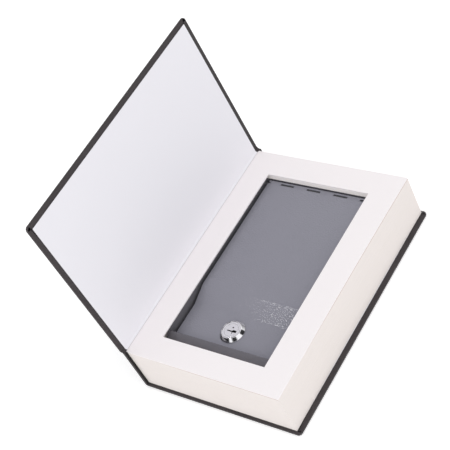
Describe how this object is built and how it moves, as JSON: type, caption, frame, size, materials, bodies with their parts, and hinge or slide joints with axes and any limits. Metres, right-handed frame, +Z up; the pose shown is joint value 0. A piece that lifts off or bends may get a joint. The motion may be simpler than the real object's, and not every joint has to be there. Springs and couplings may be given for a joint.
{
  "type": "book safe",
  "caption": "Book safe: hardback with its cover standing open, its pages cut out round a folded steel box, and a stepped steel lid hinged at the head with a cam lock on its lowered shelf.",
  "frame": {"origin": "underside of the back cover, below the middle of the page block", "axes": "+X from the spine to the fore-edge, +Y from the book's foot to its head, +Z up through the pages"},
  "size_m": [0.1741, 0.2392, 0.2141],
  "materials": {
    "paper": "matt uncoated paper, cut edges",
    "endpaper": "smooth white endpaper",
    "cloth": "dark charcoal book cloth, fine weave",
    "greyboard": "dense grey binder's board",
    "mull": "open cotton mull under dried glue",
    "powder_coat": "satin grey powder coat with a light orange-peel texture",
    "zinc_plate": "bright zinc plate",
    "black_steel": "blackened steel with a trace of oil",
    "chrome": "polished chrome plate",
    "brass": "stamped brass"
  },
  "bodies": {
    "base": {"back_cover_cloth": "cloth", "back_cover_board": "greyboard", "back_endpaper": "endpaper", "spine_lining": "mull", "spine_board": "greyboard", "spine_cloth": "cloth", "bottom_leaves": "paper", "page_block": "paper", "top_sheet": "paper", "hinge_cloth": "cloth", "hinge_endpaper": "endpaper", "tray": "powder_coat", "lock_strike": "zinc_plate", "hinge_rod": "zinc_plate", "rod_clip_left": "zinc_plate", "rod_clip_right": "zinc_plate"},
    "front_cover": {"front_cover_cloth": "cloth", "front_cover_board": "greyboard", "front_endpaper": "endpaper"},
    "lid": {"lid": "powder_coat", "hinge_leaf": "black_steel", "lock_barrel": "chrome", "lock_washer": "zinc_plate", "lock_nut": "zinc_plate"},
    "lock_plug": {"lock_plug": "chrome", "lock_cam": "zinc_plate", "cam_washer": "zinc_plate", "cam_screw": "zinc_plate"},
    "wafer_1": {"wafer_1": "brass"},
    "wafer_2": {"wafer_2": "brass"},
    "wafer_3": {"wafer_3": "brass"},
    "wafer_4": {"wafer_4": "brass"},
    "wafer_5": {"wafer_5": "brass"}
  },
  "joints": [
    {"name": "cover_hinge", "type": "hinge", "parent": "base", "child": "front_cover", "pos_m": [-0.08175, 0, 0.0503], "axis": [0, -1, 0], "range_deg": [-92.6, 104]},
    {"name": "lid_hinge", "type": "hinge", "parent": "base", "child": "lid", "pos_m": [-0.0053, 0.089, 0.04], "axis": [-1, 0, 0], "range_deg": [0, 90]},
    {"name": "lock_turn", "type": "hinge", "parent": "lid", "child": "lock_plug", "pos_m": [-0.0033, -0.0652, 0.0379], "axis": [0, 0, 1], "range_deg": [0, 90]},
    {"name": "wafer_1_slide", "type": "slide", "parent": "lock_plug", "child": "wafer_1", "axis": [1, 0, 0], "range_m": [-0.0009, 0]},
    {"name": "wafer_2_slide", "type": "slide", "parent": "lock_plug", "child": "wafer_2", "axis": [1, 0, 0], "range_m": [-0.0009, 0]},
    {"name": "wafer_3_slide", "type": "slide", "parent": "lock_plug", "child": "wafer_3", "axis": [1, 0, 0], "range_m": [-0.0009, 0]},
    {"name": "wafer_4_slide", "type": "slide", "parent": "lock_plug", "child": "wafer_4", "axis": [1, 0, 0], "range_m": [-0.0009, 0]},
    {"name": "wafer_5_slide", "type": "slide", "parent": "lock_plug", "child": "wafer_5", "axis": [1, 0, 0], "range_m": [-0.0009, 0]}
  ]
}
